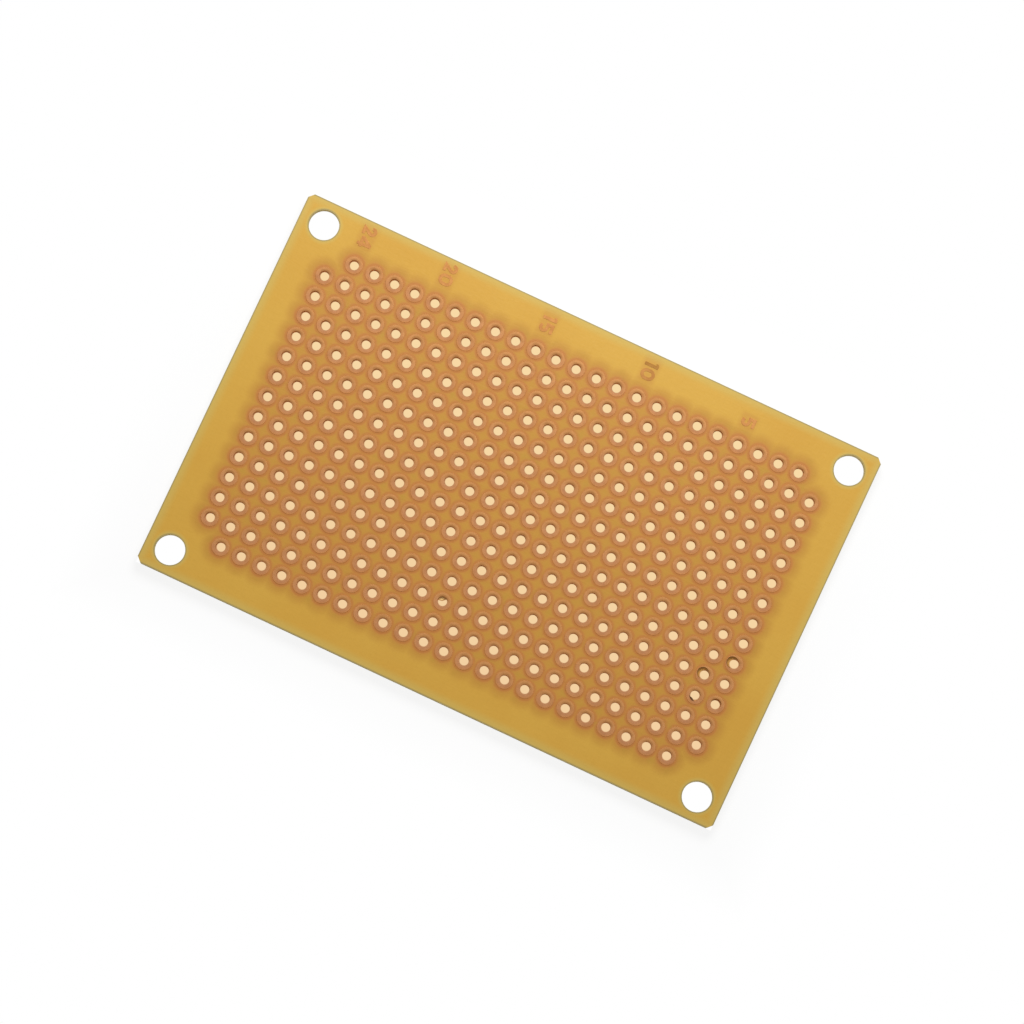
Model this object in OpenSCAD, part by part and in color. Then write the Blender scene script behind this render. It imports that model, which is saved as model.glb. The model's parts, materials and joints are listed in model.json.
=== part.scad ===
// Perforated prototype board: one sheet of paper-phenolic laminate, punched on a 0.1 inch grid,
// with a separate ring of copper foil bonded round every component hole.
// Millimetres. The board lies flat with its copper side up (+Z), its long edges along X and its
// short edges along Y. The origin is on the underside, at the middle of the board.

/* [Board] */
// Length of the laminate, along X
board_length = 72; // [50:0.5:100]
// Width of the laminate, along Y
board_width = 46.5; // [32:0.5:80]
// Thickness of the laminate
board_thickness = 1.6; // [0.8:0.1:3.2]
// Leg of the 45 degree chamfer that blunts each corner of the outline
corner_chamfer = 0.6; // [0.1:0.1:1.5]

/* [Component holes] */
// Distance from one hole centre to the next, along X and along Y
pitch = 2.54; // [2.5:0.01:3.2]
// Diameter of a component hole
hole_diameter = 1.15; // [0.7:0.05:1.3]
// Least distance from a hole centre to the edge of the board
edge_margin = 5.3; // [2:0.1:8]

/* [Copper pads] */
// Outer diameter of a pad where it meets the laminate
pad_diameter = 2.1; // [1.7:0.05:2.4]
// Thickness of the copper foil
copper_thickness = 0.035; // [0.018:0.001:0.105]

/* [Mounting holes] */
// Diameter of a mounting hole
mount_diameter = 3.5; // [2.2:0.1:4]
// Distance from a mounting hole's centre to the short edge
mount_inset_x = 3; // [2.5:0.05:6]
// Distance from a mounting hole's centre to the long edge
mount_inset_y = 2.75; // [2.5:0.05:6]
// Diameter of the screw head that has to sit clear of the pads
screw_head_diameter = 6; // [4:0.1:8]

/* [Hidden] */
// Edges of the foil: the etching tapers a pad's rim, and the punch rolls its bore inwards
etch_taper = 0.03;
punch_roll = 0.015;
// The punch breaks out wider than its own diameter as it leaves through the underside
breakout_width = 0.08;
breakout_height = 0.25;
// A tongue of laminate that the punch tore and left behind: its two faces, as heights, how far
// its tip stops short of the middle of the hole, and the angle between its sides
tongue_bottom = 0.35;
tongue_top = 1.3;
tongue_gap = 0.15;
tongue_angle = 150;
// How far a cutting tool runs past the face that it cuts
overrun = 0.5;

// Broken rims, as [column, row, direction from +X in degrees, width of the bite at the rim, depth]
rim_bites = [
    [1, 10, 162, 0.41, 0.3],
    [2, 11, 153, 0.41, 0.3],
    [2, 12, 256, 0.12, 0.7],
    [1, 12, 92, 0.12, 0.7]
];
// Half blocked holes, as [column, row, direction from +X of the side that the tongue hangs on]
torn_holes = [
    [14, 13, 116]
];

laminate_colour = [0.80, 0.65, 0.33];
copper_colour = [0.76, 0.52, 0.34];

hole_radius = hole_diameter / 2;
pad_radius = pad_diameter / 2;
mount_x = board_length / 2 - mount_inset_x;
mount_y = board_width / 2 - mount_inset_y;

// Columns are counted from the +X end and rows from the +Y edge, as the board's own legend does
column_count = floor((board_length - 2 * edge_margin) / pitch) + 1;
row_count = floor((board_width - 2 * edge_margin) / pitch) + 1;

$fn = 48;

function column_name(column) = str("pad_column_", column < 10 ? "0" : "", column);

function column_x(column) = ((column_count + 1) / 2 - column) * pitch;

function row_y(row) = ((row_count + 1) / 2 - row) * pitch;

// A place on the grid is left out where its pad would lie under the head of a mounting screw
function clears_screws(x, y) =
    norm([mount_x - abs(x), mount_y - abs(y)]) > (screw_head_diameter + pad_diameter) / 2;

function has_hole(column, row) =
    column <= column_count && row <= row_count && clears_screws(column_x(column), row_y(row));

function is_torn(column, row) =
    len([for (torn = torn_holes) if (torn[0] == column && torn[1] == row) torn]) > 0;

module at_grid(column, row) {
    translate([column_x(column), row_y(row), 0]) children();
}

module board_outline() {
    half = [board_length / 2, board_width / 2];
    along_x = [corner_chamfer, 0];
    along_y = [0, corner_chamfer];
    polygon([
        half - along_y,
        half - along_x,
        [-half.x, half.y] + along_x,
        [-half.x, half.y] - along_y,
        -half + along_y,
        -half + along_x,
        [half.x, -half.y] - along_x,
        [half.x, -half.y] + along_y
    ]);
}

// What the punch takes out: a straight bore that flares where it breaks through the underside
module punched_hole(diameter) {
    radius = diameter / 2;
    rotate_extrude()
        polygon([
            [0, -overrun],
            [radius + breakout_width, -overrun],
            [radius + breakout_width, 0],
            [radius, breakout_height],
            [radius, board_thickness + overrun],
            [0, board_thickness + overrun]
        ]);
}

// The wedge that hangs in a torn hole, pointing from the side in this direction to the middle
module tongue(direction) {
    length = hole_diameter;
    spread = length * tan(tongue_angle / 2);
    rotate([0, 0, direction])
        translate([tongue_gap, 0, tongue_bottom])
            linear_extrude(tongue_top - tongue_bottom)
                polygon([[0, 0], [length, -spread], [length, spread]]);
}

// A bite's circle at the rim of its hole, with this much of it past the rim
function bite_radius(width) = hole_radius + width / 4;

// Places what a bite takes out, its widest part in the bite's direction
module at_bite(bite) {
    rotate([0, 0, bite[2]])
        translate([bite[3] * 3 / 4, 0, board_thickness]) children();
}

// The crescent that a bite leaves in the foil, cut straight through
module foil_bite(width) {
    translate([0, 0, -overrun]) cylinder(h = copper_thickness + 2 * overrun, r = bite_radius(width));
}

// The pocket that a bite leaves in the laminate: its wall slopes in to a floor
module laminate_bite(width, depth) {
    rotate_extrude()
        polygon([
            [0, -depth],
            [bite_radius(width) - width / 2, -depth],
            [bite_radius(width), 0],
            [bite_radius(width), overrun],
            [0, overrun]
        ]);
}

module mounting_holes() {
    for (side_x = [-1, 1], side_y = [-1, 1])
        translate([side_x * mount_x, side_y * mount_y, 0]) punched_hole(mount_diameter);
}

module laminate() {
    color(laminate_colour)
        difference() {
            linear_extrude(board_thickness) board_outline();
            mounting_holes();
            for (column = [1:column_count], row = [1:row_count])
                if (has_hole(column, row) && !is_torn(column, row))
                    at_grid(column, row) punched_hole(hole_diameter);
            for (torn = torn_holes)
                if (has_hole(torn[0], torn[1]))
                    at_grid(torn[0], torn[1])
                        difference() {
                            punched_hole(hole_diameter);
                            tongue(torn[2]);
                        }
            for (bite = rim_bites)
                if (has_hole(bite[0], bite[1]))
                    at_grid(bite[0], bite[1]) at_bite(bite) laminate_bite(bite[3], bite[4]);
        }
}

// One ring of foil, etched outside and punched inside
module pad() {
    translate([0, 0, board_thickness])
        rotate_extrude()
            polygon([
                [hole_radius, 0],
                [pad_radius, 0],
                [pad_radius - etch_taper, copper_thickness],
                [hole_radius + punch_roll, copper_thickness],
                [hole_radius, copper_thickness - punch_roll]
            ]);
}

module pad_column(column) {
    color(copper_colour)
        for (row = [1:row_count])
            if (has_hole(column, row))
                at_grid(column, row)
                    difference() {
                        pad();
                        for (bite = rim_bites)
                            if (bite[0] == column && bite[1] == row) at_bite(bite) foil_bite(bite[3]);
                    }
}

laminate();
for (column = [1:column_count])
    pad_column(column);
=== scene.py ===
"""Looks of a perforated prototype board: its finishes, its legend numbers, the light and the camera.

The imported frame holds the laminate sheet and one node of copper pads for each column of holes. This
script dresses them, adds the numbers that the foil spells out beside the columns, and sets the board
on a pale floor. Sizes are in millimetres where a name doesn't say otherwise, and the frame is in
metres, so lengths are turned into metres when a mesh is finished.
"""

from __future__ import annotations

import functools
import json
import logging
import math
from collections.abc import Callable, Mapping
from dataclasses import dataclass
from enum import Enum

import bmesh
import bpy
from mathutils import Matrix, Vector

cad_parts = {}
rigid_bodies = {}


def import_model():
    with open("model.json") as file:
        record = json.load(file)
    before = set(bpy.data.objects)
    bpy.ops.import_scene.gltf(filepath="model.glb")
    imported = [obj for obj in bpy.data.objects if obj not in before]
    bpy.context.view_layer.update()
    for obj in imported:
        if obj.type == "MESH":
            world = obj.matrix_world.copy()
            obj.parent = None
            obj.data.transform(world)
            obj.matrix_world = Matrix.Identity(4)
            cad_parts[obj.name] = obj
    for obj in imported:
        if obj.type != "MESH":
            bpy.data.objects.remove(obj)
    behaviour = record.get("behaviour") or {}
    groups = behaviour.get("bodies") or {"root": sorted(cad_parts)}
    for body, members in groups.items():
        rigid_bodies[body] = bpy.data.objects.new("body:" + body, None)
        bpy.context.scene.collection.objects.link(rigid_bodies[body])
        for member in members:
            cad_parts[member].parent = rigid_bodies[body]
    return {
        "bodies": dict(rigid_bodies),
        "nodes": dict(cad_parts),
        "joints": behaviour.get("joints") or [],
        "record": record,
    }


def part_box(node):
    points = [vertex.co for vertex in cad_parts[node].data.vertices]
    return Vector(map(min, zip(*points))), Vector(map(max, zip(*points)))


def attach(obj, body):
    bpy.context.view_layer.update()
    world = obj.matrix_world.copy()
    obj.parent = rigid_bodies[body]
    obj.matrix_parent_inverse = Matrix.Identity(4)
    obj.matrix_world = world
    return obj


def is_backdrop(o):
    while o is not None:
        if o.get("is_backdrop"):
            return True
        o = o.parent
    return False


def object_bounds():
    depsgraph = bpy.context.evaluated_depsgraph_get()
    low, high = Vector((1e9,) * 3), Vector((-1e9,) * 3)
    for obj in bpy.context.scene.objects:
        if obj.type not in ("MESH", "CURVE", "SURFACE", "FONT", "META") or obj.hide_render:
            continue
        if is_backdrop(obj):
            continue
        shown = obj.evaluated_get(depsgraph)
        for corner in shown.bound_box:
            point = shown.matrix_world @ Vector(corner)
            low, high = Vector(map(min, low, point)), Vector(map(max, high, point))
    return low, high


LOG = logging.getLogger("prototype_board")
BODY = "root"
LAMINATE = "laminate"
PAD_PREFIX = "pad_column_"
MM = 0.001

Triple = tuple[float, float, float]
Colour = Triple


def display(red: int, green: int, blue: int) -> Colour:
    """A colour as it looks on a display, 0 to 255 a channel.

    Args:
        red: Red level.
        green: Green level.
        blue: Blue level.

    Returns:
        The same colour as the linear values that a shader takes.
    """

    def linear(level: int) -> float:
        """One channel's linear value."""
        share = level / 255
        return share / 12.92 if share <= 0.04045 else ((share + 0.055) / 1.055) ** 2.4

    return linear(red), linear(green), linear(blue)


def make_object(
    name: str, mesh: bmesh.types.BMesh, lay: Matrix, material: bpy.types.Material
) -> bpy.types.Object:
    """Lays a finished mesh in its place and turns it into an object.

    Args:
        name: The object's name.
        mesh: The mesh, in millimetres. It is freed.
        lay: What takes the mesh to its place, in millimetres.
        material: The object's finish.

    Returns:
        The object, in metres.
    """
    bmesh.ops.transform(mesh, matrix=Matrix.Scale(MM, 4) @ lay, verts=mesh.verts[:])
    data = bpy.data.meshes.new(name)
    mesh.to_mesh(data)
    mesh.free()
    data.materials.append(material)
    made = bpy.data.objects.new(name, data)
    bpy.context.scene.collection.objects.link(made)
    return made


@dataclass(frozen=True)
class Grid:
    """Where the frame has the board's faces, edges, holes and pads, in millimetres."""

    length: float
    width: float
    thickness: float
    foil_top: float
    pitch: float
    columns: int
    rows: int
    hole_radius: float
    pad_radius: float
    mount_x: float
    mount_y: float
    mount_radius: float

    @classmethod
    def read(cls, frame: Mapping[str, object]) -> Grid:
        """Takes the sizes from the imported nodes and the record's mounts.


        Returns:
            The sizes of this board.
        """
        record = frame["record"]
        dims = {mount["name"]: mount["dims"] for mount in record["mounts"]}
        holes, mounts = dims["component_holes"], dims["mounting_holes"]
        columns = sum(name.startswith(PAD_PREFIX) for name in frame["nodes"])
        low, high = (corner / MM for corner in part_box(LAMINATE))
        second = [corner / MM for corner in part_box(f"{PAD_PREFIX}02")]
        pad_radius = (second[1].x - second[0].x) / 2
        rows = round((second[1].y - second[0].y - 2 * pad_radius) / holes["spacing_y_mm"]) + 1
        return cls(
            length=high.x - low.x,
            width=high.y - low.y,
            thickness=high.z,
            foil_top=second[1].z,
            pitch=holes["spacing_x_mm"],
            columns=columns,
            rows=rows,
            hole_radius=holes["hole_r_mm"],
            pad_radius=pad_radius,
            mount_x=mounts["spacing_x_mm"] / 2,
            mount_y=mounts["spacing_y_mm"] / 2,
            mount_radius=mounts["hole_r_mm"],
        )

    def column_x(self, column: int) -> float:
        """The X of a column's holes. Column 1 is the one at the +X end."""
        return ((self.columns + 1) / 2 - column) * self.pitch

    def row_y(self, row: int) -> float:
        """The Y of a row's holes. Row 1 is the one at the +Y edge."""
        return ((self.rows + 1) / 2 - row) * self.pitch


class Wire:
    """An output socket. Arithmetic on it adds Math nodes to its tree."""

    def __init__(self, nodes: Nodes, socket: bpy.types.NodeSocket) -> None:
        """Wraps a socket.

        Args:
            nodes: The tree that the socket is in.
            socket: The socket.
        """
        self.nodes = nodes
        self.socket = socket

    def __add__(self, other: Wire | float) -> Wire:
        """self + other."""
        return self.nodes.math("ADD", self, other)

    def __radd__(self, other: float) -> Wire:
        """other + self."""
        return self.nodes.math("ADD", other, self)

    def __sub__(self, other: Wire | float) -> Wire:
        """self - other."""
        return self.nodes.math("SUBTRACT", self, other)

    def __rsub__(self, other: float) -> Wire:
        """other - self."""
        return self.nodes.math("SUBTRACT", other, self)

    def __mul__(self, other: Wire | float) -> Wire:
        """self * other."""
        return self.nodes.math("MULTIPLY", self, other)

    def __truediv__(self, other: Wire | float) -> Wire:
        """self / other."""
        return self.nodes.math("DIVIDE", self, other)

    def __abs__(self) -> Wire:
        """The size of self, without its sign."""
        return self.nodes.math("ABSOLUTE", self)

    def __round__(self) -> Wire:
        """The whole number nearest to self."""
        return self.nodes.math("ROUND", self)

    def least(self, other: Wire | float) -> Wire:
        """The smaller of self and other."""
        return self.nodes.math("MINIMUM", self, other)

    def most(self, other: Wire | float) -> Wire:
        """The larger of self and other."""
        return self.nodes.math("MAXIMUM", self, other)

    def hypot(self, other: Wire) -> Wire:
        """The length of the vector with self and other as its two parts."""
        return self.nodes.math("SQRT", self * self + other * other)

    def rise(self, start: float, end: float) -> Wire:
        """A smooth step over self.

        Args:
            start: Where the step is still 0.
            end: Where it has reached 1. It may be less than start.

        Returns:
            The step, between 0 and 1.
        """
        return self.nodes.node(
            "ShaderNodeMapRange",
            {"interpolation_type": "SMOOTHSTEP"},
            {"Value": self, "From Min": start, "From Max": end},
        )

    def band(self, start: float, end: float, soft: float) -> Wire:
        """1 where self lies between start and end, with edges as wide as soft."""
        return self.rise(start - soft, start) * self.rise(end + soft, end)


class Nodes:
    """A node tree, and the ways in which nodes are added to it."""

    def __init__(self, tree: bpy.types.NodeTree) -> None:
        """Takes a tree, with the nodes that it has already."""
        self.tree = tree

    def node(
        self,
        kind: str,
        settings: Mapping[str, object] | None = None,
        inputs: Mapping[str | int, object] | None = None,
        output: str | int = 0,
    ) -> Wire:
        """Adds a node.

        Args:
            kind: The node's type.
            settings: Its properties, and the stops of a ramp as a list of (position, colour).
            inputs: A value or a Wire for each socket, by the socket's name or number.
            output: The socket to return.

        Returns:
            The node's output.
        """
        made = self.tree.nodes.new(kind)
        for key, value in (settings or {}).items():
            if key == "stops":
                self._set_stops(made.color_ramp, value)
            else:
                setattr(made, key, value)
        for key, value in (inputs or {}).items():
            if isinstance(value, Wire):
                self.tree.links.new(value.socket, made.inputs[key])
            else:
                made.inputs[key].default_value = value
        return Wire(self, made.outputs[output])

    @staticmethod
    def _set_stops(ramp: bpy.types.ColorRamp, stops: list[tuple[float, Colour]]) -> None:
        """Gives a ramp these stops, from the lowest to the highest."""
        for place, (position, colour) in enumerate(stops):
            stop = ramp.elements[place] if place < 2 else ramp.elements.new(position)
            stop.position = position
            stop.color = (*colour, 1)

    def send(self, wire: Wire, name: str, key: str) -> None:
        """Links a wire to a socket of a node that the tree has already."""
        self.tree.links.new(wire.socket, self.tree.nodes[name].inputs[key])

    def math(self, operation: str, *values: Wire | float) -> Wire:
        """Adds a Math node over these values."""
        return self.node("ShaderNodeMath", {"operation": operation}, dict(enumerate(values)))

    def mix(self, share: Wire | float, below: Wire | Colour, above: Wire | Colour) -> Wire:
        """Mixes two colours.

        Args:
            share: How much of above shows, from 0 to 1.
            below: The colour where share is 0.
            above: The colour where share is 1.

        Returns:
            The mixed colour.
        """
        first, second = (
            colour if isinstance(colour, Wire) else (*colour, 1) for colour in (below, above)
        )
        return self.node(
            "ShaderNodeMix", {"data_type": "RGBA"}, {"Factor": share, 6: first, 7: second}, output=2
        )

    def ramp(self, value: Wire, stops: list[tuple[float, Colour]]) -> Wire:
        """Runs through colours as a value grows.

        Args:
            value: The value.
            stops: Each colour with the value that has it, from the lowest to the highest.

        Returns:
            The colour.
        """
        low, high = stops[0][0], stops[-1][0]
        shares = [((at - low) / (high - low), colour) for at, colour in stops]
        return self.node("ShaderNodeValToRGB", {"stops": shares}, {"Fac": (value - low) / (high - low)})

    def tint(self, colour: Wire, level: Wire) -> Wire:
        """Multiplies a colour by a level, all channels alike."""
        return self.node("ShaderNodeVectorMath", {"operation": "SCALE"}, {0: colour, "Scale": level})

    def seen(self) -> Wire:
        """1 on rays from the camera, a mirror or through glass, and 0 on those that bring light."""
        camera, glossy, through = (
            self.node("ShaderNodeLightPath", output=f"Is {kind} Ray")
            for kind in ("Camera", "Glossy", "Transmission")
        )
        return camera.most(glossy).most(through)


class Surface(Nodes):
    """A material in the making: one Principled shader and the nodes that feed it."""

    def __init__(self, name: str, values: Mapping[str, float] | None = None) -> None:
        """Starts a material.

        Args:
            name: The material's name.
            values: What the shader's own sockets are set to, by their names.
        """
        self.material = bpy.data.materials.new(name)
        self.material.use_nodes = True
        super().__init__(self.material.node_tree)
        self.shader = self.tree.nodes["Principled BSDF"]
        for key, value in (values or {}).items():
            self.shader.inputs[key].default_value = value
        place = self.node("ShaderNodeTexCoord", output="Object")
        self.mm = self.node("ShaderNodeVectorMath", {"operation": "SCALE"}, {0: place, "Scale": 1 / MM})
        self.x, self.y, self.z = (
            self.node("ShaderNodeSeparateXYZ", {}, {"Vector": self.mm}, output=axis) for axis in "XYZ"
        )

    def _grained(self, grain: float, stretch: Triple, seed: float) -> Wire:
        """The place on the piece, in grains, for a pattern to read."""
        scale = tuple(1 / (grain * along) for along in stretch)
        return self.node(
            "ShaderNodeMapping",
            {"vector_type": "POINT"},
            {"Vector": self.mm, "Location": (seed, seed, seed), "Scale": scale},
        )

    def noise(self, grain: float, detail: float = 2, stretch: Triple = (1, 1, 1), seed: float = 0) -> Wire:
        """Smooth noise between 0 and 1, about 0.5 on average.

        Args:
            grain: How far apart its features are, in millimetres.
            detail: How many finer octaves it has.
            stretch: How much longer its features are along X, Y and Z.
            seed: Moves the pattern, so that two noises differ.

        Returns:
            The noise.
        """
        return self.node(
            "ShaderNodeTexNoise",
            {},
            {"Vector": self._grained(grain, stretch, seed), "Scale": 1, "Detail": detail, "Roughness": 0.55},
        )

    def specks(self, spacing: float, size: float, seed: float) -> Wire:
        """Scattered round specks.

        Args:
            spacing: The average distance from one to the next, in millimetres.
            size: A speck's radius, as a share of that distance.
            seed: Moves the pattern.

        Returns:
            1 in a speck and 0 between them.
        """
        at = self._grained(spacing, (1, 1, 1), seed)
        far = self.node("ShaderNodeTexVoronoi", {}, {"Vector": at, "Scale": 1}, output="Distance")
        return far.rise(size, size / 2)

    def feed(self, wires: Mapping[str, Wire]) -> None:
        """Links wires to the shader's sockets, by the sockets' names."""
        for key, wire in wires.items():
            self.send(wire, self.shader.name, key)

    def bump(self, height: Wire, depth: float) -> None:
        """Raises the surface by height times depth, in millimetres, in its shading."""
        normal = self.node("ShaderNodeBump", {}, {"Height": height, "Distance": depth * MM, "Strength": 1})
        self.feed({"Normal": normal})


class PunchedGrid:
    """Masks that follow the board's own layout, as distances in millimetres."""

    seam = 0.01
    """Half the width over which one cell's pattern gives way to the next."""

    def __init__(self, surface: Surface, grid: Grid) -> None:
        """Lays the grid over a surface.

        Args:
            surface: The material that the masks are for.
            grid: The board's sizes.
        """
        self.surface = surface
        self.grid = grid
        self.last_x = grid.column_x(1)
        self.last_y = grid.row_y(1)
        self.far_x = abs(surface.x)
        self.far_y = abs(surface.y)
        self.column = self._nearest(surface.x, (grid.columns - 1) // 2)
        self.row = self._nearest(surface.y, (grid.rows - 1) // 2)
        self.dx = surface.x - self.column * grid.pitch
        self.dy = surface.y - self.row * grid.pitch
        at_end = self._in_last_cell(self.far_x, self.last_x)
        self.corner = at_end * self._in_last_cell(self.far_y, self.last_y)
        self.reach = self._hole_distance()

    def _nearest(self, along: Wire, last: int) -> Wire:
        """The number of the nearest line of holes, counted from the middle of the board."""
        return round(along / self.grid.pitch).most(-last).least(last)

    def _in_last_cell(self, far: Wire, last: float) -> Wire:
        """1 where a point is nearer to the outermost line of holes than to the next, or past it."""
        edge = last - self.grid.pitch / 2
        return far.rise(edge - self.seam, edge + self.seam)

    def _hole_distance(self) -> Wire:
        """How far a point is from the middle of the nearest hole, round the four bare corners too."""
        pitch = self.grid.pitch
        beside = (self.far_x - (self.last_x - pitch)).hypot(self.far_y - self.last_y)
        below = (self.far_x - self.last_x).hypot(self.far_y - (self.last_y - pitch))
        own = self.dx.hypot(self.dy)
        return own + self.corner * (beside.least(below) - own)

    def depth(self) -> Wire:
        """How far inside the outermost lines of holes a point is. It is negative in the margins."""
        return (self.last_x - self.far_x).least(self.last_y - self.far_y)

    def neighbourhood(self) -> Wire:
        """1 among the holes, and fading out over the first few millimetres of the margins."""
        inside = self.depth().rise(-0.5, -0.1) * (1 - self.corner)
        whole, gone = 1.35, 2.7
        return inside.most(self.reach.rise(gone, whole))

    def mount_distance(self) -> Wire:
        """How far a point is from the rim of the nearest mounting hole."""
        middle = (self.far_x - self.grid.mount_x).hypot(self.far_y - self.grid.mount_y)
        return middle - self.grid.mount_radius

    def outline_distance(self) -> Wire:
        """How far a point is from the nearest edge of the outline."""
        return (self.grid.length / 2 - self.far_x).least(self.grid.width / 2 - self.far_y)


@dataclass(frozen=True)
class LaminateFinish:
    """Amber paper laminate: a faintly mottled face, dull sheared edges and brown punched walls."""

    amber: Colour = display(210, 162, 64)
    straw: Colour = display(213, 168, 70)
    honey: Colour = display(207, 156, 60)
    # Painted shade: the darker tone over the rows of pads.
    grid_shade: Colour = display(195, 143, 58)
    olive: Colour = display(186, 145, 54)
    # Used for the etching stains, the painted shadow on the -Y side of each pad and the staining round the
    # numbers.
    near_pad: Colour = display(183, 116, 54)
    # Painted shade between the pads and just beyond them.
    shade_between_pads: Colour = display(192, 127, 62)
    shade_beyond_pads: Colour = display(196, 139, 60)
    # Painted glow of light through the laminate along its cut edges.
    band: Colour = display(205, 177, 92)
    rim: Colour = display(166, 148, 92)
    sheared: Colour = display(200, 180, 116)
    bore: Colour = display(212, 156, 88)
    pocket: Colour = display(196, 146, 74)
    # Dark dust specks in the bores, and painted shade at the top of the bites' walls.
    dust_and_lip_shade: Colour = display(104, 70, 26)
    # Painted light: the tongue is coloured far lighter than the laminate to lift the shade in its hollow.
    tongue: Colour = display(255, 218, 146)
    grit: Colour = display(206, 150, 82)
    craze: Colour = display(226, 196, 132)
    speck: Colour = display(132, 84, 40)
    roughness: float = 0.42
    wall_dullness: float = 0.35
    halo_width: float = 0.5
    halo_all_round: float = 0.12
    # Painted shadow on each pad's -Y side, as a share.
    painted_shadow_south: float = 0.7
    number_stain: float = 0.27
    edge_band: float = 1.3
    mount_band: float = 0.6
    cut_line: float = 0.19

    def material(self, grid: Grid, legend: Legend) -> bpy.types.Material:
        """Makes the laminate's material.

        Args:
            grid: The board's sizes.
            legend: The numbers that lie on it.

        Returns:
            The material.
        """
        surface = Surface("paper_laminate", {"IOR": 1.45, "Specular IOR Level": 0.25})
        layout = PunchedGrid(surface, grid)
        inset = 0.01
        walls = surface.z.band(inset, grid.thickness - inset, 0.004)
        face = self._face(surface, grid, layout, legend.surroundings(surface))
        colour = surface.mix(walls, face, self._walls(surface, grid, layout))
        gloss = surface.noise(6, 3, seed=41)
        roughness = self.roughness + (gloss - 0.5) * 0.16
        surface.feed({"Base Color": colour, "Roughness": roughness + walls * self.wall_dullness})
        fibre = surface.noise(0.18, 2, (6, 1, 1), seed=3) + surface.noise(0.18, 2, (1, 6, 1), seed=8)
        surface.bump(fibre * 0.5 + surface.noise(0.5, 2, seed=5), 0.012)
        return surface.material

    def _face(self, surface: Surface, grid: Grid, layout: PunchedGrid, numbers: Wire) -> Wire:
        """The colour of the two faces. Only the upper one has the etching stains and the painted shadow
        round its foil.
        """
        upper = surface.z.rise(0.3, grid.thickness - 0.3)
        cloud = surface.noise(14, 3, seed=11).rise(0.3, 0.7)
        colour = surface.mix(cloud, self.honey, self.straw)
        colour = surface.mix(0.5, colour, self.amber)
        zone = layout.neighbourhood() * (0.25 + upper * 0.75)
        # Painted shade over the rows of pads.
        colour = surface.mix(zone, colour, self._painted_shade_among_pads(surface, layout))
        mottle = surface.noise(1.4, 2, seed=23) - 0.5
        colour = surface.mix(mottle.rise(0, 0.3) * zone * 0.5, colour, self.olive)
        fibre = surface.noise(0.14, 3, (9, 1, 1), seed=31) + surface.noise(0.14, 3, (1, 9, 1), seed=37)
        colour = surface.tint(colour, 0.94 + fibre * 0.06)
        stain_and_pad_shadow = self._halo(surface, grid, layout).most(numbers * self.number_stain)
        # Painted shadow on the -Y side of each pad, with the etching stains round the pads and the numbers.
        colour = surface.mix(stain_and_pad_shadow * upper, colour, self.near_pad)
        flecks = surface.specks(9, 0.016, 2)
        colour = surface.mix(flecks * 0.7, colour, self.speck)
        colour = self._edges(surface, layout, colour)
        under = surface.z.rise(0.05, 0.0)
        punched = under * layout.reach.rise(grid.hole_radius + 0.3, grid.hole_radius + 0.08)
        return surface.mix(punched * 0.7, colour, self.craze)

    def _painted_shade_among_pads(self, surface: Surface, layout: PunchedGrid) -> Wire:
        """Painted shade among the pads: a darker tone, redder where two of them come close."""
        beside, past, clear = 1.2, 1.36, 1.62
        return surface.ramp(
            layout.reach,
            [(beside, self.shade_between_pads), (past, self.shade_beyond_pads), (clear, self.grid_shade)],
        )

    def _halo(self, surface: Surface, grid: Grid, layout: PunchedGrid) -> Wire:
        """How much of the etching stains and the painted shadow shows: a little staining all round a pad,
        and a painted shadow wider on its -Y side.
        """
        south = layout.dy.rise(0.3, -1.0)
        ragged = surface.noise(0.35, 2, seed=29) * 0.3
        close = (layout.reach + ragged).rise(grid.pad_radius + self.halo_width, grid.pad_radius + 0.1)
        return close * (self.halo_all_round + south * self.painted_shadow_south)

    def _edges(self, surface: Surface, layout: PunchedGrid, colour: Wire) -> Wire:
        """Lightens the laminate along its cut edges with a painted glow, as of light through the sheet, and
        adds a dull line at the very rim.
        """
        outline, mount = layout.outline_distance(), layout.mount_distance()
        pale = outline.rise(self.edge_band, 0.12).most(mount.rise(self.mount_band, 0.1))
        # Painted glow, lighter along the cut edges and round the mounting holes.
        colour = surface.mix(pale * 0.75, colour, self.band)
        return surface.mix(outline.least(mount).rise(self.cut_line, 0.08) * 0.9, colour, self.rim)

    def _walls(self, surface: Surface, grid: Grid, layout: PunchedGrid) -> Wire:
        """The colour of the sheared edges, the hole walls, the bites and the torn tongue, with painted shade
        at the top of the bites' walls and painted light on the tongue.
        """
        ply = surface.noise(0.1, 2, (30, 30, 1), seed=17)
        wall = surface.mix(ply.rise(0.35, 0.65) * 0.5, self.sheared, self.rim)
        dust = surface.noise(0.12, 2, seed=19).rise(0.45, 0.75)
        bore = surface.mix(dust * 0.12, self.bore, self.dust_and_lip_shade)
        # Painted shade on the top of each bite's wall.
        lip = surface.z.rise(grid.thickness - 0.12, grid.thickness - 0.03)
        pocket = surface.mix(lip, self.pocket, self.dust_and_lip_shade)
        past_rim = layout.reach.rise(grid.hole_radius + 0.02, grid.hole_radius + 0.05)
        above_floor = surface.z.rise(grid.thickness / 2 - 0.1, grid.thickness / 2)
        bore = surface.mix(past_rim * above_floor, bore, pocket)
        grit = surface.noise(0.16, 3, seed=61).rise(0.55, 0.62)
        # Painted light on the tongue, lighter than the laminate to lift the shade in its hollow.
        tongue = surface.mix(grit * 0.6, self.tongue, self.grit)
        inside = layout.reach.rise(grid.hole_radius - 0.02, grid.hole_radius - 0.05)
        bore = surface.mix(inside, bore, tongue)
        of_hole = layout.reach.rise(grid.pad_radius, grid.pad_radius - 0.1)
        return surface.mix(of_hole, wall, bore)


class FoilState(Enum):
    """How a piece of foil has aged."""

    PAD = "pad"
    FADED = "faded"
    BROWNED = "browned"


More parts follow.
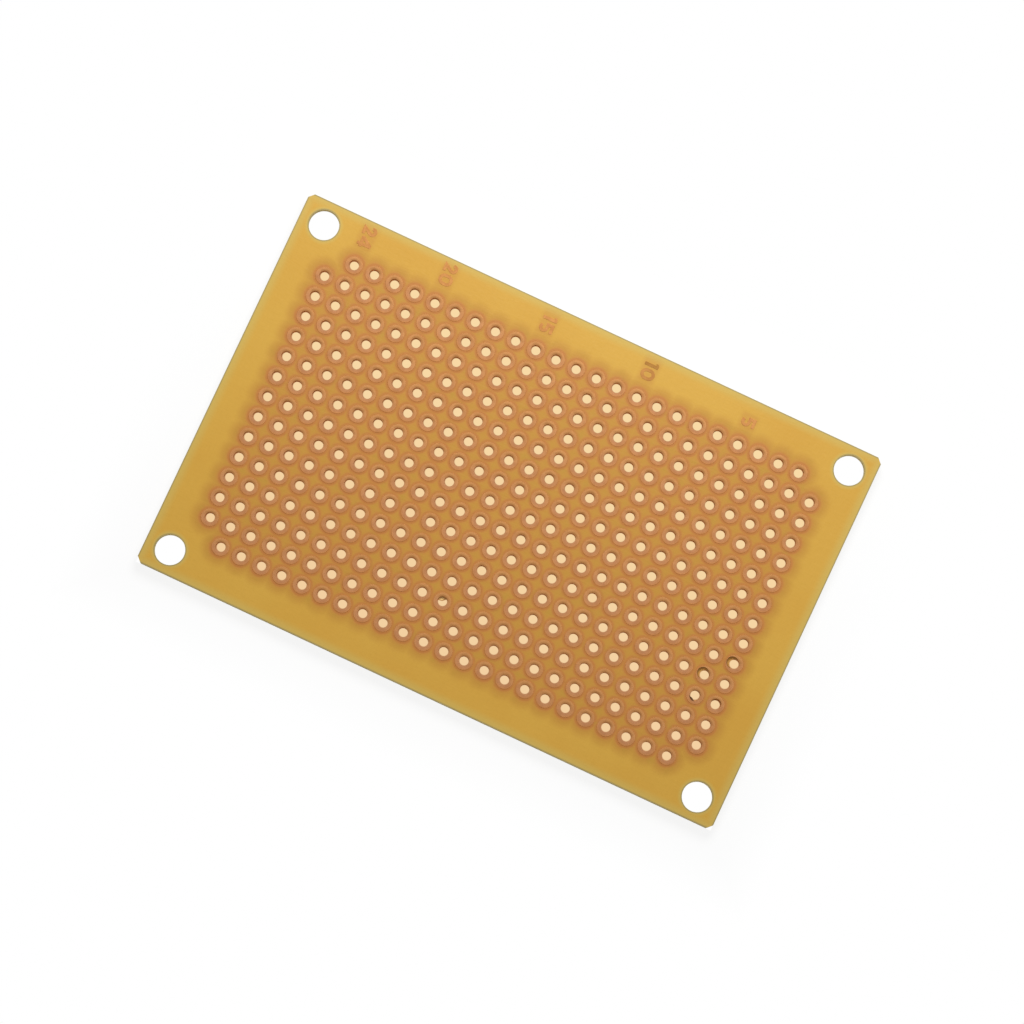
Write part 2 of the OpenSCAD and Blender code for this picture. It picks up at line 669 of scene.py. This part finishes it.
@dataclass(frozen=True)
class FoilFinish:
    """Etched copper foil, softened by oxide and by a thin film of resin."""

    inner: Colour = display(178, 124, 82)
    pink: Colour = display(184, 128, 81)
    rose: Colour = display(175, 118, 75)
    outer: Colour = display(189, 130, 75)
    sunlit: Colour = display(187, 132, 73)
    shaded: Colour = display(150, 100, 50)
    # Staining on the numbers, and painted shadow along the -Y side of each pad's rim.
    stain_and_rim_shadow: Colour = display(180, 119, 63)
    faded: Colour = display(190, 132, 70)
    browned: Colour = display(156, 110, 44)
    roughness: float = 0.62

    def material(self, grid: Grid, state: FoilState) -> bpy.types.Material:
        """Makes the foil's material in one state.

        Args:
            grid: The board's sizes.
            state: Pad, faded number or browned number.

        Returns:
            The material.
        """
        surface = Surface(
            f"copper_foil_{state.value}", {"Metallic": 0.3, "IOR": 1.45, "Specular IOR Level": 0.3}
        )
        cloud = surface.noise(0.7, 3, seed=51).rise(0.3, 0.7)
        if state is FoilState.PAD:
            colour = self._pad(surface, grid, cloud)
        else:
            colour = surface.mix(cloud * 0.4, self.faded, self.stain_and_rim_shadow)
        if state is FoilState.BROWNED:
            outer_digit = surface.y.rise(grid.row_y(1) + 3.1, grid.row_y(1) + 4)
            colour = surface.mix(outer_digit * 0.5 + 0.3, colour, self.browned)
        grain = surface.noise(0.05, 2, (5, 1, 1), seed=57)
        colour = surface.tint(colour, 0.96 + grain * 0.08)
        surface.feed({"Base Color": colour, "Roughness": self.roughness + (cloud - 0.5) * 0.15})
        surface.bump(grain + cloud, 0.003)
        return surface.material

    def _pad(self, surface: Surface, grid: Grid, cloud: Wire) -> Wire:
        """The colour of the pads: each with its own tint, toned towards its etched rim, with painted light
        on the +Y side, painted shade on the +Y part of the hole's lip, and a painted shadow along the -Y
        side of the rim.
        """
        layout = PunchedGrid(surface, grid)
        own = surface.node(
            "ShaderNodeTexWhiteNoise",
            {"noise_dimensions": "2D"},
            {"Vector": surface.node("ShaderNodeCombineXYZ", {}, {"X": layout.column, "Y": layout.row})},
            output="Value",
        )
        blotch = surface.noise(0.3, 3, seed=71).rise(0.25, 0.75)
        middle = surface.mix(own * 0.35 + cloud * 0.3 + blotch * 0.35, self.pink, self.rose)
        reach = layout.reach + (surface.noise(0.3, 2, seed=73) - 0.5) * 0.16
        near = reach.rise(grid.hole_radius + 0.28, grid.hole_radius + 0.05)
        colour = surface.mix(near * 0.8, middle, self.inner)
        north = layout.dy.rise(-0.5, 0.9)
        colour = surface.mix(north * 0.7, colour, self.sunlit)
        lip = reach.rise(grid.hole_radius + 0.3, grid.hole_radius + 0.06)
        colour = surface.mix(lip * layout.dy.rise(0.05, 0.6) * 0.8, colour, self.shaded)
        rim = reach.rise(grid.pad_radius - 0.25, grid.pad_radius)
        colour = surface.mix(rim * 0.6, colour, self.outer)
        # Painted shadow along the -Y side of the pad's rim.
        return surface.mix(rim * layout.dy.rise(0.1, -1.0) * 0.8, colour, self.stain_and_rim_shadow)


class Pen:
    """Draws flat strokes with one edge as wide as the stroke, which it sweeps along."""

    def __init__(self, mesh: bmesh.types.BMesh, width: float) -> None:
        """Takes up a pen.

        Args:
            mesh: The mesh that the strokes go into, in its XY plane.
            width: The width of a stroke.
        """
        self.mesh = mesh
        self.width = width
        self.point = Vector()
        self.heading = 0.0
        self.left: bmesh.types.BMVert | None = None
        self.right: bmesh.types.BMVert | None = None
        self.left_side: bmesh.types.BMEdge | None = None
        self.right_side: bmesh.types.BMEdge | None = None

    @property
    def edge(self) -> bmesh.types.BMEdge:
        """The edge that the next move sweeps."""
        return self.mesh.edges.get((self.right, self.left))

    def _ahead(self) -> Vector:
        """The direction that the pen moves in."""
        return Vector((math.cos(self.heading), math.sin(self.heading), 0))

    def _leftwards(self) -> Vector:
        """The direction to the pen's left."""
        return Vector((-math.sin(self.heading), math.cos(self.heading), 0))

    def _hold(self, ends: list[bmesh.types.BMVert]) -> None:
        """Takes two corners as the ends of the pen's edge."""
        side = self._leftwards()
        self.right, self.left = sorted(ends, key=lambda corner: corner.co.dot(side))

    def start(self, x: float, y: float, degrees: float) -> Pen:
        """Puts the pen down at a point, to move off in a direction."""
        self.point = Vector((x, y, 0))
        self.heading = math.radians(degrees)
        half = self._leftwards() * self.width / 2
        ends = [self.mesh.verts.new(self.point + half), self.mesh.verts.new(self.point - half)]
        self.mesh.edges.new(ends)
        self._hold(ends)
        return self

    def branch(self, edge: bmesh.types.BMEdge, degrees: float) -> Pen:
        """Goes on from the side of a stroke that is there already, in a direction."""
        self.point = (edge.verts[0].co + edge.verts[1].co) / 2
        self.heading = math.radians(degrees)
        self._hold(list(edge.verts))
        return self

    def line(self, length: float, slanted: bool = False) -> Pen:
        """Draws straight ahead.

        Args:
            length: How far.
            slanted: Keeps the slant of the edge. Otherwise the stroke ends square.

        Returns:
            The pen.
        """
        old_left, old_right = self.left, self.right
        made = bmesh.ops.extrude_edge_only(self.mesh, edges=[self.edge])["geom"]
        ends = [item for item in made if isinstance(item, bmesh.types.BMVert)]
        ahead = self._ahead()
        for corner in ends:
            behind = 0 if slanted else (corner.co - self.point).dot(ahead)
            bmesh.ops.translate(self.mesh, verts=[corner], vec=ahead * (length - behind))
        self.point = self.point + ahead * length
        self._hold(ends)
        self.left_side = self.mesh.edges.get((old_left, self.left))
        self.right_side = self.mesh.edges.get((old_right, self.right))
        return self

    def corner(self, degrees: float) -> Pen:
        """Turns on the spot, to the left if degrees is positive, with a mitred corner."""
        shift = math.tan(math.radians(degrees) / 2) * self.width / 2
        bmesh.ops.translate(self.mesh, verts=[self.left], vec=self._ahead() * -shift)
        bmesh.ops.translate(self.mesh, verts=[self.right], vec=self._ahead() * shift)
        self.heading += math.radians(degrees)
        return self

    def arc(self, radius: float, degrees: float) -> Pen:
        """Draws an arc of this radius, to the left if degrees is positive."""
        angle = math.radians(degrees)
        pivot = self.point + self._leftwards() * math.copysign(radius, degrees)
        turn = Matrix.Rotation(angle, 3, "Z")
        made = bmesh.ops.spin(
            self.mesh,
            geom=[self.edge, self.left, self.right],
            cent=pivot,
            axis=(0, 0, 1),
            angle=angle,
            steps=math.ceil(abs(degrees) / 12),
        )["geom_last"]
        self.point = pivot + turn @ (self.point - pivot)
        self.heading += angle
        self._hold([item for item in made if isinstance(item, bmesh.types.BMVert)])
        return self


@dataclass(frozen=True)
class Digits:
    """The shapes of the digits, each drawn with its lower left corner at the start."""

    height: float = 1.68
    stroke: float = 0.37

    def draw(self, digit: str, mesh: bmesh.types.BMesh, start: float) -> float:
        """Draws a digit.

        Args:
            digit: The digit.
            mesh: The mesh that it goes into.
            start: The X of its left side.

        Returns:
            Its width.
        """
        shapes: dict[str, Callable[[Pen, float], float]] = {
            "0": self._zero,
            "1": self._one,
            "2": self._two,
            "4": self._four,
            "5": self._five,
        }
        return shapes[digit](Pen(mesh, self.stroke), start)

    def _zero(self, pen: Pen, start: float) -> float:
        """A closed oval with short straight sides."""
        width = 1.34
        radius = (width - self.stroke) / 2
        side = self.height - width
        pen.start(start + self.stroke / 2, self.height / 2, 90).line(side / 2).arc(radius, -180)
        pen.line(side).arc(radius, -180).line(side / 2)
        return width

    def _one(self, pen: Pen, start: float) -> float:
        """A stem with a slanted flag at its top."""
        width, flag = 0.58, 0.3
        pen.start(start + width - self.stroke / 2, 0, 90).line(self.height - flag).line(flag)
        lean = 30
        reach = (width - self.stroke) / math.cos(math.radians(lean))
        pen.branch(pen.left_side, 180 + lean).line(reach, slanted=True)
        return width

    def _two(self, pen: Pen, start: float) -> float:
        """A bowl with a short tip, which runs straight down into the left end of the base."""
        width, tip, lean = 1.08, 0.09, 57
        radius = (width - self.stroke) / 2
        top = self.height - self.stroke / 2 - radius
        pen.start(start + self.stroke / 2, top - tip, 90).line(tip).arc(radius, lean - 270)
        pen.line((pen.point.y - self.stroke / 2) / math.sin(math.radians(lean))).corner(180 - lean)
        pen.line(start + width - pen.point.x)
        return width

    def _four(self, pen: Pen, start: float) -> float:
        """A stem that the bar crosses, and a slope from the bar's left end to the stem's top."""
        width, stub, bar = 1.27, 0.17, 0.28
        bar_top = bar + self.stroke
        stem_left = width - stub - self.stroke
        lean = math.atan2(self.height - bar_top, stem_left)
        foot, top = self.stroke / math.sin(lean), self.stroke / math.cos(lean)
        pen.start(start + stem_left + self.stroke / 2, 0, 90).line(bar).line(self.stroke)
        crossing = pen.left_side, pen.right_side
        pen.line(self.height - bar_top - top).line(top)
        slope_end = pen.left_side
        pen.branch(crossing[1], 0).line(stub)
        pen.branch(crossing[0], 180).line(stem_left - foot).line(foot)
        bmesh.ops.bridge_loops(pen.mesh, edges=[pen.right_side, slope_end])
        return width

    def _five(self, pen: Pen, start: float) -> float:
        """A top bar, a short drop and a round belly."""
        width, belly, inset, sweep, tail = 1.22, 0.92, 0.06, 205, 0.14
        radius = (belly - self.stroke / 2) / 2
        left, right = start + inset + self.stroke / 2, start + width - inset
        top = self.height - self.stroke / 2
        pen.start(right, top, 180).line(right - left).corner(90).line(top - belly).corner(90)
        pen.line(start + width - self.stroke / 2 - radius - left).arc(radius, -sweep).line(tail)
        return width


@dataclass(frozen=True)
class Number:
    """One number of the legend, beside the column that it counts."""

    text: str
    state: FoilState

    @property
    def name(self) -> str:
        """The name of its piece."""
        return f"legend_{int(self.text):02d}"


@dataclass(frozen=True)
class Legend:
    """The numbers in foil along the +Y edge, which read inwards from that edge."""

    grid: Grid
    finish: FoilFinish
    digits: Digits = Digits()
    numbers: tuple[Number, ...] = (
        Number("5", FoilState.FADED),
        Number("10", FoilState.BROWNED),
        Number("15", FoilState.FADED),
        Number("20", FoilState.FADED),
        Number("24", FoilState.FADED),
    )
    clearance: float = 2.24
    gap: float = 0.26
    rounding: float = 0.07
    edge_break: float = 0.012
    sink: float = 0.004
    stain_per_digit: float = 1.35
    stain_half_width: float = 0.7
    stain_fade: float = 0.65

    def build(self) -> None:
        """Makes each number a piece of its own."""
        for number in self.numbers:
            piece = self._piece(number)
            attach(piece, BODY)
            LOG.info("%s: %d faces", piece.name, len(piece.data.polygons))

    def surroundings(self, surface: Surface) -> Wire:
        """The laminate round and between the digits.

        Args:
            surface: The laminate's material.

        Returns:
            1 there, and 0 a little way off.
        """
        inner = self.grid.row_y(1) + self.clearance
        fade_end = self.stain_half_width + self.stain_fade
        shares = [
            abs(surface.x - self.grid.column_x(int(number.text))).rise(fade_end, self.stain_half_width)
            * surface.y.band(inner, inner + self.stain_per_digit * len(number.text), 0.4)
            for number in self.numbers
        ]
        return functools.reduce(Wire.most, shares)

    def _piece(self, number: Number) -> bpy.types.Object:
        """Cuts a number out of foil and lays it in its place."""
        mesh = bmesh.new()
        advance = 0.0
        for digit in number.text:
            advance += self.digits.draw(digit, mesh, advance) + self.gap
        bmesh.ops.remove_doubles(mesh, verts=mesh.verts[:], dist=0.001)
        ends = [corner for corner in mesh.verts if len(corner.link_edges) == 2]
        bmesh.ops.bevel(
            mesh,
            geom=ends,
            offset=self.rounding,
            offset_type="OFFSET",
            segments=3,
            profile=0.5,
            affect="VERTICES",
            material=-1,
            clamp_overlap=True,
        )
        self._thicken(mesh)
        column = int(number.text)
        middle = self.grid.column_x(column) - self.digits.height / 2
        outer = self.grid.row_y(1) + self.clearance + advance - self.gap
        place = Matrix.Translation((middle, outer, self.grid.thickness - self.sink))
        lay = place @ Matrix.Rotation(math.radians(-90), 4, "Z")
        return make_object(number.name, mesh, lay, self.finish.material(self.grid, number.state))

    def _thicken(self, mesh: bmesh.types.BMesh) -> None:
        """Gives a flat number the foil's thickness, and breaks its upper edges."""
        depth = self.grid.foil_top - self.grid.thickness + self.sink
        raised = bmesh.ops.extrude_face_region(mesh, geom=mesh.faces[:])["geom"]
        top = [item for item in raised if isinstance(item, bmesh.types.BMVert)]
        bmesh.ops.translate(mesh, verts=top, vec=(0, 0, depth))
        bmesh.ops.recalc_face_normals(mesh, faces=mesh.faces[:])
        upper = set(top)
        rim = [
            edge
            for edge in mesh.edges
            if upper.issuperset(edge.verts) and any(abs(face.normal.z) < 0.5 for face in edge.link_faces)
        ]
        bmesh.ops.bevel(
            mesh,
            geom=rim,
            offset=self.edge_break,
            offset_type="OFFSET",
            segments=2,
            profile=0.5,
            affect="EDGES",
            material=-1,
            clamp_overlap=True,
        )


@dataclass(frozen=True)
class ShadeSliver:
    """A dark sliver on the rim of one hole, put there as painted shade for a thin crescent of shadow."""

    grid: Grid
    column: int = 2
    row: int = 12
    direction: float = 246
    reach: float = 0.445
    leans: tuple[float, float] = (-13, 12)
    radius: float = 0.6
    offset: float = 0.07
    bottom: float = 1.3
    top: float = 1.59
    # Painted shade: these dark browns stand in for shadow at the hole's rim.
    sliver_shade: Colour = display(112, 70, 34)
    sliver_deep_shade: Colour = display(62, 36, 16)

    def build(self) -> None:
        """Makes the sliver."""
        mesh = bmesh.new()
        bmesh.ops.create_cone(
            mesh,
            cap_ends=True,
            segments=40,
            radius1=self.radius,
            radius2=self.radius,
            depth=self.top - self.bottom,
            matrix=Matrix.Translation((self.offset, 0, (self.top + self.bottom) / 2)),
        )
        for lean in self.leans:
            self._break_off(mesh, lean)
        bmesh.ops.recalc_face_normals(mesh, faces=mesh.faces[:])
        hole = (self.grid.column_x(self.column), self.grid.row_y(self.row), 0)
        lay = Matrix.Translation(hole) @ Matrix.Rotation(math.radians(self.direction), 4, "Z")
        piece = make_object("shade_sliver", mesh, lay, self._material())
        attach(piece, BODY)
        LOG.info("%s: %d faces", piece.name, len(piece.data.polygons))

    def _break_off(self, mesh: bmesh.types.BMesh, lean: float) -> None:
        """Breaks the disc off along a face this many degrees from square to its direction."""
        inward = Matrix.Rotation(math.radians(lean), 3, "Z") @ Vector((-1, 0, 0))
        cut = bmesh.ops.bisect_plane(
            mesh,
            geom=mesh.verts[:] + mesh.edges[:] + mesh.faces[:],
            dist=1e-5,
            plane_co=(self.reach, 0, 0),
            plane_no=inward,
            clear_outer=True,
        )["geom_cut"]
        bmesh.ops.edgeloop_fill(mesh, edges=[item for item in cut if isinstance(item, bmesh.types.BMEdge)])

    def _material(self) -> bpy.types.Material:
        """Painted shade: dark brown, blacker in places."""
        surface = Surface("painted_shade_sliver", {"IOR": 1.45, "Specular IOR Level": 0.2})
        deep_shade = surface.noise(0.12, 2, seed=83).rise(0.4, 0.65)
        colour = surface.mix(deep_shade, self.sliver_shade, self.sliver_deep_shade)
        surface.feed({"Base Color": colour, "Roughness": 0.7 + deep_shade * 0.2})
        surface.bump(surface.noise(0.06, 2, seed=87), 0.01)
        return surface.material


@dataclass(frozen=True)
class Board:
    """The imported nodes: one sheet of laminate and a column of pads for each column of holes."""

    grid: Grid
    laminate: LaminateFinish
    foil: FoilFinish
    legend: Legend

    def dress(self, nodes: Mapping[str, bpy.types.Object]) -> None:
        """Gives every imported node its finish.

        Args:
            nodes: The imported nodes, by name.
        """
        sheet = self.laminate.material(self.grid, self.legend)
        pads = self.foil.material(self.grid, FoilState.PAD)
        for name, node in nodes.items():
            node.data.materials.clear()
            node.data.materials.append(sheet if name == LAMINATE else pads)
            LOG.info("%s: %s", name, node.data.materials[0].name)


@dataclass(frozen=True)
class Table:
    """The pale floor that the board lies on, with a painted warm glow and painted shade at its rims where it
    shows through the component holes.
    """

    grid: Grid
    half_size: float = 600
    drop: float = 0.02
    paper: Colour = (1, 1, 1)
    # Painted warm glow under the holes, lighter towards +Y.
    glow_far: Colour = display(249, 218, 166)
    glow_near: Colour = display(243, 208, 161)
    # Painted shade at the rim of each hole's disc of glow.
    painted_rim_shade: Colour = display(190, 134, 92)
    glow_lead: float = 0.115
    glow_radius: float = 0.52
    glow_fade: float = 0.055
    glow_margin: float = 1.4
    shadow: float = 0.13
    shadow_reach: float = 9
    backlight: float = 0.7

    def build(self) -> None:
        """Makes the floor."""
        mesh = bmesh.new()
        bmesh.ops.create_grid(mesh, x_segments=1, y_segments=1, size=self.half_size)
        floor = make_object("floor", mesh, Matrix.Translation((0, 0, -self.drop)), self._material())
        floor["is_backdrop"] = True
        LOG.info("floor: %.0f mm square", 2 * self.half_size)

    def _material(self) -> bpy.types.Material:
        """White to the camera and to mirror rays, with the board's shadow, and a painted warm glow under the
        holes, lighter towards +Y, with painted shade round each hole's rim.
        """
        surface = Surface("pale_floor", {"Roughness": 0.9})
        layout = PunchedGrid(surface, self.grid)
        under = layout.depth().rise(-self.glow_margin, 0.1 - self.glow_margin)
        half = self.grid.width / 2
        # Painted warm glow, lighter towards +Y.
        glow = surface.mix(surface.y.rise(-half, half), self.glow_near, self.glow_far)
        # Painted shade round the rim of each hole's disc.
        off_middle = layout.dx.hypot(layout.dy - self.glow_lead)
        rim = off_middle.rise(self.glow_radius - self.glow_fade, self.glow_radius + self.glow_fade)
        colour = surface.mix(under, self.paper, surface.mix(rim, glow, self.painted_rim_shade))
        outside = layout.outline_distance()
        shaded = outside.rise(0.0, -0.05) * outside.rise(-self.shadow_reach, -1.0)
        emission = surface.node("ShaderNodeEmission", {}, {"Color": colour, "Strength": 1})
        seen = surface.seen()
        white = seen * (1 - shaded * self.shadow) + (1 - seen) * outside.rise(0.0, 0.1) * self.backlight
        shader = Wire(surface, surface.shader.outputs[0])
        veil = surface.node("ShaderNodeMixShader", {}, {0: white, 1: shader, 2: emission})
        surface.feed({"Base Color": colour})
        surface.send(veil, "Material Output", "Surface")
        return surface.material


@dataclass(frozen=True)
class Studio:
    """A soft lamp over the +Y edge, and an even white surround."""

    key_place: Triple = (-13, 111, 154)
    key_size: float = 110
    key_watts: float = 0.318
    surround: float = 0.3

    def build(self) -> None:
        """Hangs the lamp and lights the world."""
        data = bpy.data.lights.new("key", "AREA")
        data.shape = "DISK"
        data.size = self.key_size * MM
        data.energy = self.key_watts
        lamp = bpy.data.objects.new("key", data)
        place = Vector(self.key_place)
        lamp.location = place * MM
        lamp.rotation_euler = place.to_track_quat("Z", "Y").to_euler()
        bpy.context.scene.collection.objects.link(lamp)
        self._world()
        LOG.info("studio: %s W at %s mm", self.key_watts, self.key_place)

    def _world(self) -> None:
        """White to the camera and to mirror rays, and dimmer as a light."""
        world = bpy.data.worlds.new("surround")
        bpy.context.scene.world = world
        world.use_nodes = True
        nodes = Nodes(world.node_tree)
        strength = self.surround + nodes.seen() * (1 - self.surround)
        white = nodes.node("ShaderNodeBackground", {}, {"Color": (1, 1, 1, 1), "Strength": strength})
        nodes.send(white, "World Output", "Surface")


@dataclass(frozen=True)
class Viewpoint:
    """A long lens high above the board, a little towards its near edge, with the board turned."""

    eye: Triple = (13.4, -56.4, 697.6)
    aim: Triple = (0.307, -0.112, 1.6)
    turn: float = 25.08
    lens: float = 216.17

    def build(self) -> None:
        """Makes the camera."""
        data = bpy.data.cameras.new("camera")
        data.lens = self.lens
        data.clip_start = 0.05
        data.clip_end = 10
        camera = bpy.data.objects.new("camera", data)
        eye, aim = Vector(self.eye), Vector(self.aim)
        back = (eye - aim).normalized()
        turn = math.radians(self.turn)
        right = Vector((-math.sin(turn), math.cos(turn), 0)).cross(back).normalized()
        up = back.cross(right)
        axes = Matrix((right, up, back)).transposed().to_4x4()
        camera.matrix_world = Matrix.Translation(eye * MM) @ axes
        bpy.context.scene.collection.objects.link(camera)
        bpy.context.scene.camera = camera
        LOG.info("camera: %.0f mm lens at %s mm", self.lens, self.eye)


def plain(box: tuple[Vector, Vector]) -> list[list[float]]:
    """A box's two corners as plain lists of numbers."""
    return [list(corner) for corner in box]


def main() -> None:
    """Loads the frame, dresses the board, adds the legend and sets the stage."""
    logging.basicConfig(level=logging.INFO, format="%(name)s %(message)s")
    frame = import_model()
    cad_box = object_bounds()
    grid = Grid.read(frame)
    foil = FoilFinish()
    legend = Legend(grid, foil)
    Board(grid, LaminateFinish(), foil, legend).dress(frame["nodes"])
    legend.build()
    ShadeSliver(grid).build()
    Table(grid).build()
    Studio().build()
    Viewpoint().build()
    bpy.context.scene.view_settings.view_transform = "Standard"
    {"cad": plain(cad_box), "visual": plain(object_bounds())}


if __name__ == "__main__":
    main()
